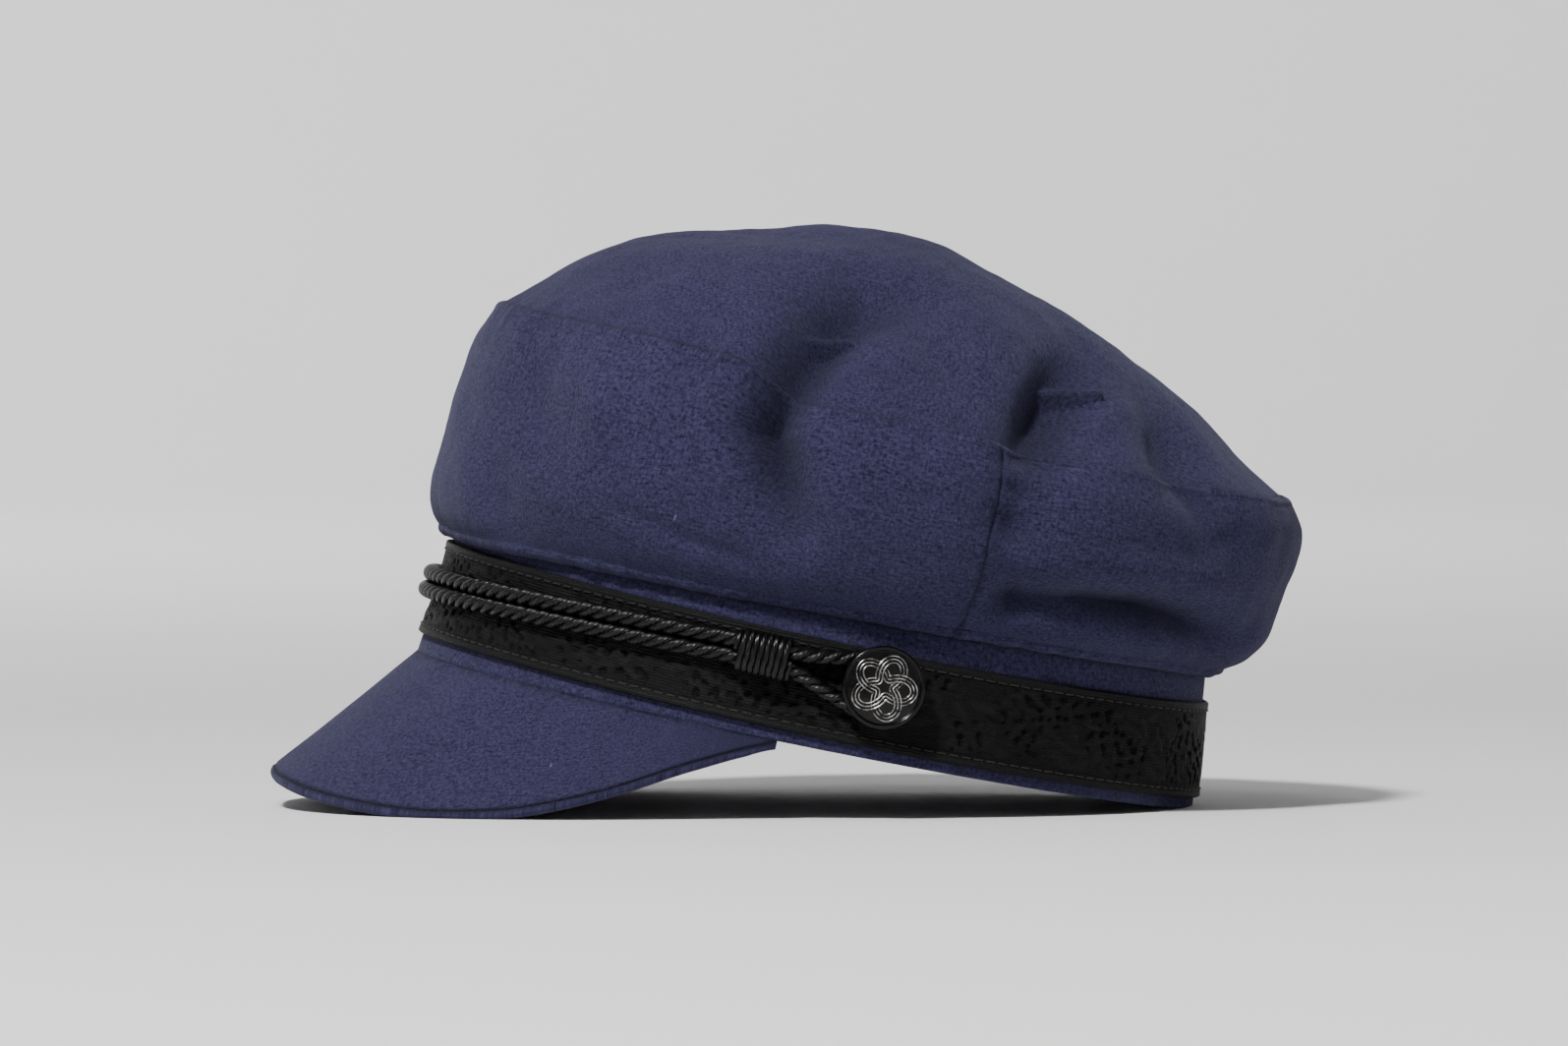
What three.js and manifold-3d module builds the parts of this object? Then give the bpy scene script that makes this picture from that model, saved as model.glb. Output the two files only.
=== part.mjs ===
// A sailor cap: a soft cloth crown over a stiffened head band, with a woven ribbon, a curved peak and a
// twisted cord looped round two side buttons. Millimetres, +Z up, the peak towards -Y, standing on z = 0.
//
// The cap is drawn in its own level frame, with the head band's lower edge near z = 0 and the band's
// centre at the origin, and is then tipped back until it stands on its peak and the back of its band.
//
// Angles round the head are measured from the front: 0 is the middle of the front, a quarter turn is the
// wearer's left (+X), and half a turn is the middle of the back.
import * as THREE from "three";
import { mergeVertices } from "three/addons/utils/BufferGeometryUtils.js";
import Module from "manifold-3d";

const { lerp, smoothstep: smooth } = THREE.MathUtils;
const degree = Math.PI / 180;
const wholeTurn = 2 * Math.PI;

// ---- driving dimensions ----
const gap = 0.35; // clearance kept between neighbouring pieces
const aroundSteps = 70; // divisions of a whole turn round the head
const step = wholeTurn / aroundSteps;

const band = {
  halfLength: 102.9, // outside of the cloth at the lower edge
  halfWidth: 84.7,
  lean: 3.6, // how much smaller the half length and half width are at the upper edge
  height: 34.5,
  wall: 2.6,
  rows: 5,
};
const press = { depth: 1.1, height: 18.6, spread: 8.5 }; // of the taut cord into the front of the band
const ribbon = { width: 24.8, wall: 1, rows: 4 };
const peak = {
  endAngle: 86 * degree,
  slope: 50 * degree, // below level, at the front
  sideSteepening: 20 * degree, // by which the sides slope more
  wall: 2.6,
  columns: 44,
  rows: 5,
};
const crown = { wall: 1.5, sideSeamAngle: 21 * step, sideRows: 11, topRings: 8, crest: 130.9 };
const cord = { radius: 2, sides: 8, frontHeight: 18.6, whippingHeight: 20.1 };
const whipping = { wall: 1.3, length: 15.5, distance: 30, sides: 20, rows: 4 }; // distance to its button
const button = {
  radius: 10.6,
  thickness: 3.4,
  shankRadius: 2.4,
  angle: 98.8 * degree,
  height: 17.4, // of its middle above the band's lower edge
  sides: 28,
};
const loopRadius = 7.5; // of the cord's turn round a button's shank

const restTilt = 11.53 * degree; // the front is higher than the back when the cap stands by itself
const floorBite = 0.8; // cloth worn flat where the cap touches the floor

// ---- heights round the head ----
const wave = (angle, mean, once, twice) => mean + once * Math.cos(angle) + twice * Math.cos(2 * angle);
const bandFoot = (angle) => wave(angle, -0.3, -0.2, 0.5);
const ribbonMiddle = (angle) => wave(angle, 15.6, 0.9, 1.1);
const crownSeam = (angle) => wave(angle, 34.3, -2.3, 0);
const topSeam = (angle) =>
  84.5 + 8.3 * smooth(Math.cos(angle), 0.12, 0.42) - 1.2 * smooth(-Math.cos(angle), 0.2, 0.9);

// ---- small helpers ----
const fade = (distance, spread) => Math.exp(-((distance / spread) ** 2));

function meshGeometry(positions, faces) {
  const geometry = new THREE.BufferGeometry();
  geometry.setAttribute("position", new THREE.Float32BufferAttribute(positions, 3));
  geometry.setIndex(faces);
  geometry.computeVertexNormals();
  return geometry;
}

// A closed solid through a row of sections. sectionPoint(s, j) is point j of the section at share s of the
// way along, and each section closes on itself. The row of sections closes on itself too when ring is set,
// and otherwise gets flat ends.
function solidOfSections(sectionPoint, columns, sectionSize, ring) {
  const positions = [];
  const sectionCount = ring ? columns : columns + 1;
  for (let i = 0; i < sectionCount; i++)
    for (let j = 0; j < sectionSize; j++) positions.push(...sectionPoint(i / columns, j).toArray());
  const faces = [];
  const at = (i, j) => (i % sectionCount) * sectionSize + (j % sectionSize);
  for (let i = 0; i < columns; i++)
    for (let j = 0; j < sectionSize; j++) {
      faces.push(at(i, j), at(i + 1, j), at(i + 1, j + 1));
      faces.push(at(i, j), at(i + 1, j + 1), at(i, j + 1));
    }
  if (!ring)
    for (let j = 0; j < sectionSize / 2 - 1; j++) {
      const [a, b, c, d] = [j, j + 1, sectionSize - 2 - j, sectionSize - 1 - j];
      faces.push(at(0, a), at(0, b), at(0, c), at(0, a), at(0, c), at(0, d));
      faces.push(at(columns, c), at(columns, b), at(columns, a));
      faces.push(at(columns, d), at(columns, c), at(columns, a));
    }
  return meshGeometry(positions, faces);
}

// A sheet with a thickness, from its outer and inner surfaces as functions of the share along and across.
// Each section runs across the outside and back across the inside.
function sheet(outer, inner, columns, rows, ring) {
  const sectionPoint = (s, j) => (j <= rows ? outer(s, j / rows) : inner(s, (2 * rows + 1 - j) / rows));
  return solidOfSections(sectionPoint, columns, 2 * (rows + 1), ring);
}

// ---- head band ----
function bandNormal(angle) {
  const [across, forwards] = [Math.sin(angle) / band.halfWidth, Math.cos(angle) / band.halfLength];
  return new THREE.Vector3(across, -forwards, 0).normalize();
}

// A point on the outside of the band, moved outwards by offset.
function bandPoint(angle, height, offset) {
  const lean = (band.lean * height) / band.height;
  const atFront = smooth(Math.cos(angle), 0.05, 0.5);
  const pressed = press.depth * atFront * fade(height - press.height, press.spread);
  return new THREE.Vector3(
    (band.halfWidth - lean) * Math.sin(angle),
    -(band.halfLength - lean) * Math.cos(angle),
    height,
  ).addScaledVector(bandNormal(angle), offset - pressed);
}

function headBandGeometry() {
  const face = (offset) => (s, t) => {
    const angle = s * wholeTurn;
    return bandPoint(angle, lerp(bandFoot(angle), crownSeam(angle) - gap, t), offset);
  };
  return sheet(face(0), face(-band.wall), aroundSteps, band.rows, true);
}

// ---- ribbon ----
function ribbonGeometry() {
  const face = (offset) => (s, t) => {
    const angle = s * wholeTurn;
    return bandPoint(angle, ribbonMiddle(angle) + ribbon.width * (t - 0.5), offset);
  };
  return sheet(face(gap + ribbon.wall), face(gap), aroundSteps, ribbon.rows, true);
}

// ---- peak ----
// Length down the slope from the seam to the free edge, from the middle of the front to either end.
const peakLengths = [48, 49.2, 49, 46.8, 42.4, 34.8, 23.8, 11, 1.5];
const peakLength = new THREE.SplineCurve(peakLengths.map((length, i) => new THREE.Vector2(i, length)));

function peakPoint(angle, t, depth) {
  const along = t * peakLength.getPoint(Math.min(1, Math.abs(angle) / peak.endAngle)).y;
  const slope = peak.slope + peak.sideSteepening * Math.sin(angle) ** 2;
  const outwards = along * Math.cos(slope) - depth * Math.sin(slope);
  const down = along * Math.sin(slope) + depth * Math.cos(slope);
  return bandPoint(angle, bandFoot(angle) - gap, outwards).add(new THREE.Vector3(0, 0, -down));
}

function peakGeometry() {
  const face = (depth) => (s, t) => peakPoint(lerp(-peak.endAngle, peak.endAngle, s), 1 - t, depth);
  return sheet(face(0), face(peak.wall), peak.columns, peak.rows, false);
}

// ---- crown ----
// Outlines of the crown at the front, side and back: distances from the crown's axis at shared shares of
// the height. The side panels rise from the band's seam to the top seam, and the top panel from there to
// the crest.
const outline = (distances, rises) =>
  new THREE.SplineCurve(distances.map((out, i) => new THREE.Vector2(out, rises[i])));
const sideRises = [0, 0.05, 0.12, 0.23, 0.36, 0.51, 0.68, 0.84, 1];
const sidePanel = {
  front: outline([99.6, 103.6, 105.9, 106.9, 106.5, 105.6, 104.6, 102.4, 98.8], sideRises),
  side: outline([81.3, 85.6, 89.2, 92.6, 95, 96.6, 96.9, 95.6, 92.6], sideRises),
  back: outline([99.5, 103.8, 108.4, 112.2, 113.1, 113.9, 115.4, 115, 110.5], sideRises),
  bottom: crownSeam,
  top: topSeam,
};
const topRises = [0, 0.17, 0.38, 0.57, 0.72, 0.84, 0.94, 0.985, 1];
const topPanel = {
  front: outline([98.8, 91.7, 83.4, 72.4, 58, 39, 24.5, 11.5, 0], topRises),
  side: outline([92.6, 85.8, 74.8, 61.2, 47.5, 33.3, 18.8, 9, 0], topRises),
  back: outline([110.5, 97.2, 84, 65.6, 49.8, 34.4, 18.5, 9, 0], topRises),
  bottom: topSeam,
  top: () => crown.crest,
};

// Soft valleys pressed into the crown towards its heart. Each path is a line of y and z on one side.
const crownHeart = new THREE.Vector3(0, 5, 60);
const longValley = [[-2, 118], [-14, 111], [-21, 103], [-26, 91], [-28, 76], [-22, 66], [-17, 57]];
const valleys = [
  { side: 1, depth: 8, spread: 7.5, path: longValley },
  { side: 1, depth: 8, spread: 8, path: [[46, 111], [40, 99], [39, 88], [39, 80], [43, 72]] },
  { side: 1, depth: 2.5, spread: 8, path: [[5, 114], [15, 104], [20, 94]] },
  { side: 1, depth: 7, spread: 4.5, path: [[46, 46], [62, 49], [80, 49], [97, 46], [112, 43]] },
  { side: 1, depth: 4, spread: 6, path: [[70, 108], [76, 98], [83, 83], [94, 73]] },
  { side: 1, depth: 1.8, spread: 7, path: [[-85, 86], [-86, 74], [-80, 62]] },
  { side: -1, depth: 6.5, spread: 8, path: [[14, 114], [8, 100], [10, 84], [18, 70]] },
  { side: -1, depth: 5, spread: 8, path: [[-48, 108], [-44, 94], [-48, 80]] },
  { side: -1, depth: 5, spread: 5, path: [[50, 47], [72, 51], [98, 48]] },
];

function distanceToPath(y, z, path) {
  let nearest = Infinity;
  for (let i = 0; i + 1 < path.length; i++) {
    const [[y0, z0], [y1, z1]] = [path[i], path[i + 1]];
    const [dy, dz] = [y1 - y0, z1 - z0];
    const share = THREE.MathUtils.clamp(((y - y0) * dy + (z - z0) * dz) / (dy * dy + dz * dz), 0, 1);
    nearest = Math.min(nearest, Math.hypot(y - y0 - share * dy, z - z0 - share * dz));
  }
  return nearest;
}

// A point on the outside of the crown.
function crownSkin(panel, angle, t) {
  const [cosine, sine] = [Math.cos(angle), Math.sin(angle)];
  const end = (cosine > 0 ? panel.front : panel.back).getPoint(t);
  const middle = panel.side.getPoint(t);
  const rise = end.y * cosine ** 2 + middle.y * sine ** 2;
  const height = lerp(panel.bottom(angle), panel.top(angle), rise);
  const point = new THREE.Vector3(middle.x * sine, -end.x * cosine, height);
  let pressed = 0;
  for (const { side, depth, spread, path } of valleys) {
    const facing = smooth(side * point.x, 18, 60);
    pressed += facing * depth * fade(distanceToPath(point.y, point.z, path), spread);
  }
  return point.addScaledVector(inwardsFrom(point), pressed);
}

const inwardsFrom = (point) => crownHeart.clone().sub(point).normalize();

// A point under the skin, where the wall measures its depth square to the skin.
function crownPoint(panel, angle, t, depth) {
  const skin = crownSkin(panel, angle, t);
  const [low, high] = [Math.max(0, t - 0.02), Math.min(1, t + 0.02)];
  const up = crownSkin(panel, angle, high).sub(crownSkin(panel, angle, low));
  const along = crownSkin(panel, angle + 0.02, t).sub(crownSkin(panel, angle - 0.02, t));
  const square = up.cross(along).normalize();
  const inwards = inwardsFrom(skin);
  return skin.addScaledVector(inwards, depth / Math.max(0.6, Math.abs(square.dot(inwards))));
}

function crownSideGeometry(fromAngle, toAngle) {
  const panel = sidePanel;
  const endGap = gap / 2 / panel.back.getPoint(0.5).x; // as an angle, at the side seams
  const topGap = gap / 2 / panel.side.getLength();
  const columns = Math.round((aroundSteps * (toAngle - fromAngle)) / wholeTurn);
  const face = (depth) => (s, t) =>
    crownPoint(panel, lerp(fromAngle + endGap, toAngle - endGap, s), t * (1 - topGap), depth);
  return sheet(face(0), face(crown.wall), columns, crown.sideRows, false);
}

// The top panel: rings of points on its outside and inside, each closed by a point at the crest.
function crownTopGeometry() {
  const rings = crown.topRings;
  const edgeGap = gap / 2 / topPanel.side.getLength();
  const positions = [];
  for (const depth of [0, crown.wall])
    for (let j = 0; j < rings; j++)
      for (let i = 0; i < aroundSteps; i++) {
        const angle = (i / aroundSteps) * wholeTurn;
        positions.push(...crownPoint(topPanel, angle, lerp(edgeGap, 1, j / rings), depth).toArray());
      }
  const [outerCrest, innerCrest] = [0, crown.wall].map((depth) => {
    positions.push(...crownPoint(topPanel, 0, 1, depth).toArray());
    return positions.length / 3 - 1;
  });
  const faces = [];
  const quad = (a, b, c, d) => faces.push(a, b, c, a, c, d);
  const outer = (j, i) => j * aroundSteps + (i % aroundSteps);
  const inner = (j, i) => outer(rings + j, i);
  for (let i = 0; i < aroundSteps; i++) {
    for (let j = 0; j + 1 < rings; j++) {
      quad(outer(j, i), outer(j, i + 1), outer(j + 1, i + 1), outer(j + 1, i));
      quad(inner(j, i + 1), inner(j, i), inner(j + 1, i), inner(j + 1, i + 1));
    }
    faces.push(outer(rings - 1, i), outer(rings - 1, i + 1), outerCrest);
    faces.push(inner(rings - 1, i + 1), inner(rings - 1, i), innerCrest);
    quad(inner(0, i), inner(0, i + 1), outer(0, i + 1), outer(0, i));
  }
  return meshGeometry(positions, faces);
}

// ---- cord ----
const ribbonFace = gap + ribbon.wall; // outside of the ribbon, measured from the band's cloth
const cordOffset = ribbonFace + gap + cord.radius;
const whippingOffset = cordOffset + whipping.wall + gap;
const anglePerMm = 1 / 102; // along the sides of the band, near the buttons
const whippingAngle = button.angle - whipping.distance * anglePerMm;
const cordRise = cord.radius + gap / 2; // of each run above or below the cord's middle line

// Height of the line midway between the cord's two runs.
function cordMiddle(angle) {
  const { frontHeight, whippingHeight } = cord;
  const towardsWhipping = lerp(frontHeight, whippingHeight, smooth(Math.abs(angle), 0.4, whippingAngle));
  return lerp(towardsWhipping, button.height, smooth(Math.abs(angle), whippingAngle, button.angle));
}

// Half of the cord's upper run, from the middle of the front to its furthest point behind a button.
function upperRun() {
  const stops = [];
  const clearAngle = whippingAngle - (whipping.length / 2 + 5) * anglePerMm;
  const frontStops = 12;
  for (let i = 0; i <= frontStops; i++) {
    stops.push({ angle: (i / frontStops) * clearAngle, rise: cordRise, offset: cordOffset });
  }
  for (const along of [-0.5, 0, 0.5]) {
    const angle = whippingAngle + along * whipping.length * anglePerMm;
    stops.push({ angle, rise: cordRise, offset: whippingOffset });
  }
  const loop = [100, 75, 50, 25, 0].map((turn) => {
    const [back, rise] = [loopRadius * Math.cos(turn * degree), loopRadius * Math.sin(turn * degree)];
    return { angle: button.angle + back * anglePerMm, rise, offset: cordOffset };
  });
  const leaving = stops.at(-1);
  const between = {
    angle: (leaving.angle + loop[0].angle) / 2,
    rise: (leaving.rise + loop[0].rise) / 2,
    offset: cordOffset,
  };
  return [...stops, between, ...loop];
}

// One cord goes along the front above, round the left button, back along the front below, and round the
// right button. Its two ends meet inside the left whipping, on the upper run.
function cordRoute() {
  const upper = upperRun();
  const lower = upper.slice(0, -1).reverse().map((stop) => ({ ...stop, rise: -stop.rise }));
  const leftHalf = [...upper, ...lower];
  const turned = ({ angle, rise, offset }) => ({ angle: -angle, rise: -rise, offset });
  const rightHalf = leftHalf.slice(1, -1).map(turned);
  const stops = [...leftHalf, ...rightHalf];
  const start = stops.findIndex((stop) => stop.angle === whippingAngle);
  const end = { ...stops[start], angle: whippingAngle - gap * anglePerMm };
  return [...stops.slice(start), ...stops.slice(0, start), end];
}

// A smooth curve whose steps are its own stops, short in a tight turn and long on a straight run.
class CordCurve extends THREE.CatmullRomCurve3 {
  getPointAt(share, target) {
    return this.getPoint(share, target);
  }
  getTangentAt(share, target) {
    return this.getTangent(share, target);
  }
}

function cordGeometry() {
  const placed = ({ angle, rise, offset }) => bandPoint(angle, cordMiddle(angle) + rise, offset);
  const stops = cordRoute().map(placed);
  const circle = new THREE.Path().absarc(0, 0, cord.radius, 0, wholeTurn);
  const section = new THREE.Shape(circle.getSpacedPoints(cord.sides));
  const settings = { steps: stops.length - 1, extrudePath: new CordCurve(stops), bevelEnabled: false };
  return new THREE.ExtrudeGeometry(section, settings);
}

// ---- whippings ----
// A sleeve of wound thread round both runs of the cord, with a rounded oblong section.
function whippingGeometry(side) {
  const halfAngle = (whipping.length / 2) * anglePerMm;
  const squarer = (v) => Math.sign(v) * Math.abs(v) ** 0.8;
  const face = (clearance) => (s, t) => {
    const angle = side * lerp(whippingAngle - halfAngle, whippingAngle + halfAngle, t);
    const [thick, high] = [cord.radius + clearance, cordRise + cord.radius + clearance];
    const rise = -side * high * squarer(Math.sin(s * wholeTurn));
    const out = thick * squarer(Math.cos(s * wholeTurn));
    return bandPoint(angle, cordMiddle(angle) + rise, whippingOffset + out);
  };
  const slack = 1.5 * gap; // round the cord, which bends a little inside
  return sheet(face(gap + whipping.wall), face(slack), whipping.sides, whipping.rows, true);
}

// ---- buttons ----
// A domed disc with a raised rim, on a shank that stands on the ribbon.
function buttonGeometry() {
  const { radius, shankRadius } = button;
  const back = 3 * gap + 2 * cord.radius; // clears the cord that turns behind it
  const front = back + button.thickness;
  const profile = [
    [0, gap],
    [shankRadius, gap],
    [shankRadius, back],
    [radius - 1, back],
    [radius, back + 1],
    [radius, front - 1.4],
    [radius - 0.5, front - 0.9],
    [radius - 1.4, front - 0.9],
    [radius - 2, front - 1.2],
    [radius - 4, front - 0.5],
    [radius - 7, front - 0.1],
    [0, front],
  ];
  return new THREE.LatheGeometry(profile.map(([out, rise]) => new THREE.Vector2(out, rise)), button.sides);
}

// ---- materials ----
const cloth = new THREE.MeshStandardMaterial({ color: 0x35395f, roughness: 0.9, metalness: 0 });
const blackWeave = new THREE.MeshStandardMaterial({ color: 0x16171a, roughness: 0.75, metalness: 0 });
const blackCord = new THREE.MeshStandardMaterial({ color: 0x0e0f10, roughness: 0.5, metalness: 0 });
const blackGloss = new THREE.MeshStandardMaterial({ color: 0x1a1a1c, roughness: 0.2, metalness: 0.1 });

// ---- assembly ----
const cap = new THREE.Group(); // holds the cap as drawn in its own level frame, and tips it back
cap.rotation.x = -restTilt;
cap.updateMatrixWorld(true);

function addPiece(name, geometry, material) {
  const piece = new THREE.Mesh(geometry, material);
  piece.name = name;
  cap.add(piece);
  return piece;
}

addPiece("crown_top", crownTopGeometry(), cloth);
addPiece("crown_side_front", crownSideGeometry(-crown.sideSeamAngle, crown.sideSeamAngle), cloth);
addPiece("crown_side_back", crownSideGeometry(crown.sideSeamAngle, wholeTurn - crown.sideSeamAngle), cloth);
const headBand = addPiece("head_band", headBandGeometry(), cloth);
addPiece("ribbon", ribbonGeometry(), blackWeave);
const peakPiece = addPiece("peak", peakGeometry(), cloth);
addPiece("front_cord", cordGeometry(), blackCord);
for (const [name, side] of [["left", 1], ["right", -1]]) {
  addPiece(`cord_whipping_${name}`, whippingGeometry(side), blackCord);
  const piece = addPiece(`button_${name}`, buttonGeometry(), blackGloss);
  const angle = side * button.angle;
  const facing = bandNormal(angle).setZ(band.lean / band.height).normalize();
  piece.position.copy(bandPoint(angle, button.height, ribbonFace));
  piece.quaternion.setFromUnitVectors(new THREE.Vector3(0, 1, 0), facing);
}

// ---- standing on the floor ----
const wasm = await Module();
wasm.setup();

function solidOf(geometry) {
  const bare = new THREE.BufferGeometry();
  bare.setAttribute("position", geometry.getAttribute("position"));
  bare.setIndex(geometry.getIndex());
  const merged = mergeVertices(bare);
  const vertProperties = Float32Array.from(merged.getAttribute("position").array);
  const triVerts = Uint32Array.from(merged.getIndex().array);
  return new wasm.Manifold(new wasm.Mesh({ numProp: 3, vertProperties, triVerts }));
}

// Cuts away what a piece has below the floor.
function trimAtFloor(piece, floor) {
  const depth = 50;
  const ground = new THREE.BoxGeometry(600, 600, depth);
  ground.translate(0, 0, floor - depth / 2);
  ground.applyMatrix4(piece.matrixWorld.clone().invert());
  const { vertProperties, triVerts } = solidOf(piece.geometry).subtract(solidOf(ground)).getMesh();
  piece.geometry = meshGeometry(vertProperties, Array.from(triVerts));
}

const boxOf = (object) => new THREE.Box3().setFromObject(object, true);
const lowest = (piece) => boxOf(piece).min.z;
const floor = Math.max(lowest(headBand), lowest(peakPiece)) + floorBite;
for (const piece of [headBand, peakPiece]) trimAtFloor(piece, floor);

const middle = boxOf(cap).getCenter(new THREE.Vector3());
cap.position.set(-middle.x, -middle.y, -floor);

const part = new THREE.Group();
part.add(cap);

export default part;
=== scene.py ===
import math

import bmesh
import bpy
import numpy as np
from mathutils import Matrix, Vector


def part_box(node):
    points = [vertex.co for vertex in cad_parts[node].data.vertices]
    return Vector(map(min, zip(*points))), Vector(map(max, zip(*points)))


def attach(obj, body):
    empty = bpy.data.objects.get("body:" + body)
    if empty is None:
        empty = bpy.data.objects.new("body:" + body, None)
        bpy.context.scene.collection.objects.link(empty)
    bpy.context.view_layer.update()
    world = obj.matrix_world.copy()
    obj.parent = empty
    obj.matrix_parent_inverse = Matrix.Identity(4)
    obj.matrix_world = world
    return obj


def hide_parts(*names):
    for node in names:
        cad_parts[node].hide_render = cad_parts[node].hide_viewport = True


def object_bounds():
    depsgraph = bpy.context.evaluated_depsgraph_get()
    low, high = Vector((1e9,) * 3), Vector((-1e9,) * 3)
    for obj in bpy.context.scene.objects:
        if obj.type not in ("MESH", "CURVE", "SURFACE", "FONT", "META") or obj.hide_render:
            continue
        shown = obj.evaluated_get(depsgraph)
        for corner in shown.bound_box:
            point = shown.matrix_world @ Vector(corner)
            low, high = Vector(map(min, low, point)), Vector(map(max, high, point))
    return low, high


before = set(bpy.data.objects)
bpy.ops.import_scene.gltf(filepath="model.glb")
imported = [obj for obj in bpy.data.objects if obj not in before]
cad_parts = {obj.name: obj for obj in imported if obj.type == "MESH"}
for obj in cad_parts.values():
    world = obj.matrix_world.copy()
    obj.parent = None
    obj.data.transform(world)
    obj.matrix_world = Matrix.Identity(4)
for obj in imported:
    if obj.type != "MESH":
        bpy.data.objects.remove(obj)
cadBox = [list(corner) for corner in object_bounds()]

# Shapes are worked out in millimetres in the cap's own level frame: the middle of the head band at the
# origin, -Y to the front, +X to the wearer's left. place() tips them back and sets them on the floor.
# Angles round the head run from the front (0) over the wearer's left to the back (pi).
mm = 0.001
turn = 2 * math.pi
restTilt = math.radians(11.53)
gap = 0.35

band = dict(halfLength=102.9, halfWidth=84.7, lean=3.6, height=34.5, wall=2.6)
ribbon = dict(
    width=24.8, wall=1.0, edge=0.4, repeat=32.0, stem=4.2, field=9.4, relief=0.5,
    stitchInset=2.3, stitchStep=3.3,
)
press = dict(depth=1.1, height=18.6, spread=8.5)  # of the taut cord into the front of the band


def smoothStep(x, low, high):
    share = np.clip((x - low) / (high - low), 0, 1)
    return share * share * (3 - 2 * share)


def blend(low, high, share):
    return low + (high - low) * share


def fade(distance, spread):
    return np.exp(-((distance / spread) ** 2))


def unit(vectors):
    return vectors / np.maximum(np.linalg.norm(vectors, axis=-1, keepdims=True), 1e-12)


def wave(angle, mean, once, twice):
    return mean + once * np.cos(angle) + twice * np.cos(2 * angle)


def bandFoot(angle):
    return wave(angle, -0.3, -0.2, 0.5)


def ribbonMiddle(angle):
    return wave(angle, 15.6, 0.9, 1.1)


def crownSeam(angle):
    return wave(angle, 34.3, -2.3, 0)


def topSeam(angle):
    front = smoothStep(np.cos(angle), 0.12, 0.42)
    return 84.5 + 8.3 * front - 1.2 * smoothStep(-np.cos(angle), 0.2, 0.9)


def softNoise(points, size, seed):
    # A sum of sine waves in random directions, each about size long, between about -1 and 1.
    count, spread = 14, 3.7
    rng = np.random.default_rng(seed)
    directions = unit(rng.normal(size=(count, 3)))
    lengths = size * rng.uniform(0.7, 1.6, count)
    phases = rng.uniform(0, turn, count)
    waves = np.tensordot(points, (directions * (turn / lengths)[:, None]).T, 1) + phases
    return np.sin(waves).sum(-1) / spread


def alongNoise(along, size, seed):
    # The same for a single running length.
    count, spread = 9, 3
    rng = np.random.default_rng(seed)
    lengths = size * rng.uniform(0.6, 1.9, count)
    phases = rng.uniform(0, turn, count)
    return np.sin(np.asarray(along)[..., None] * turn / lengths + phases).sum(-1) / spread


def splineAt(values, share):
    # Uniform Catmull-Rom through the values, with the end values held.
    values = np.asarray(values, float)
    last = len(values) - 1
    position = np.clip(share, 0, 1) * last
    i = np.minimum(position.astype(int), last - 1)
    w = position - i
    before = values[np.where(i == 0, i, i - 1)]
    here, there = values[i], values[i + 1]
    after = values[np.minimum(i + 2, last)]
    slopeHere, slopeThere = (there - before) / 2, (after - here) / 2
    return (
        (2 * here - 2 * there + slopeHere + slopeThere) * w**3
        + (-3 * here + 3 * there - 2 * slopeHere - slopeThere) * w**2
        + slopeHere * w
        + here
    )


def bandNormal(angle):
    # Square to the ellipse: (sin a / half width, -cos a / half length, 0) at unit length.
    x, y = np.sin(angle) / band["halfWidth"], -np.cos(angle) / band["halfLength"]
    return unit(np.stack([x, y, 0 * angle], -1))


def bandPoint(angle, height, offset):
    # An upright ellipse that leans in with height, pressed in a little at the front, moved out by offset.
    angle, height, offset = np.broadcast_arrays(*[np.asarray(v, float) for v in (angle, height, offset)])
    lean = band["lean"] * height / band["height"]
    front = smoothStep(np.cos(angle), 0.05, 0.5)
    pressed = press["depth"] * front * fade(height - press["height"], press["spread"])
    x = (band["halfWidth"] - lean) * np.sin(angle)
    y = -(band["halfLength"] - lean) * np.cos(angle)
    return np.stack([x, y, height], -1) + bandNormal(angle) * (offset - pressed)[..., None]


def tip(points):
    # Tips level-frame millimetres back by the resting tilt.
    cosine, sine = math.cos(restTilt), math.sin(restTilt)
    x, y, z = points[..., 0], points[..., 1], points[..., 2]
    return np.stack([x, y * cosine + z * sine, z * cosine - y * sine], -1)


# The level frame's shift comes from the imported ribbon: its box against the same ribbon worked out here.
aroundRibbon = np.linspace(0, turn, 1401)
ribbonEdge = [
    tip(bandPoint(aroundRibbon, ribbonMiddle(aroundRibbon) + rise, offset))
    for rise in (-ribbon["width"] / 2, ribbon["width"] / 2)
    for offset in (gap, gap + ribbon["wall"])
]
ribbonPoints = np.concatenate(ribbonEdge)
ribbonLow, ribbonHigh = [np.array(corner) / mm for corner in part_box("ribbon")]
shift = (ribbonLow + ribbonHigh - ribbonPoints.min(0) - ribbonPoints.max(0)) / 2
print("level frame shift, mm:", shift.round(2))


def place(points):
    # Level-frame millimetres to metres on the floor, with cloth pressed flat where it rests.
    placed = (tip(points) + shift) * mm
    placed[..., 2] = np.maximum(placed[..., 2], 0)
    return placed


def newPiece(name, points, faces, loopUv, **attributes):
    # A smooth mesh at the origin, with its cloth coordinates and any values that its points carry.
    mesh = bpy.data.meshes.new(name)
    mesh.from_pydata(points.reshape(-1, 3).tolist(), [], faces)
    layer = mesh.uv_layers.new(name="clothUv")
    layer.data.foreach_set("uv", np.ascontiguousarray(loopUv, dtype=np.float32).reshape(-1))
    for label, values in attributes.items():
        layer = mesh.attributes.new(label, "FLOAT", "POINT")
        layer.data.foreach_set("value", values.astype(np.float32).reshape(-1))
    mesh.shade_smooth()
    mesh.update()
    piece = bpy.data.objects.new(name, mesh)
    bpy.context.scene.collection.objects.link(piece)
    return piece


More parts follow.
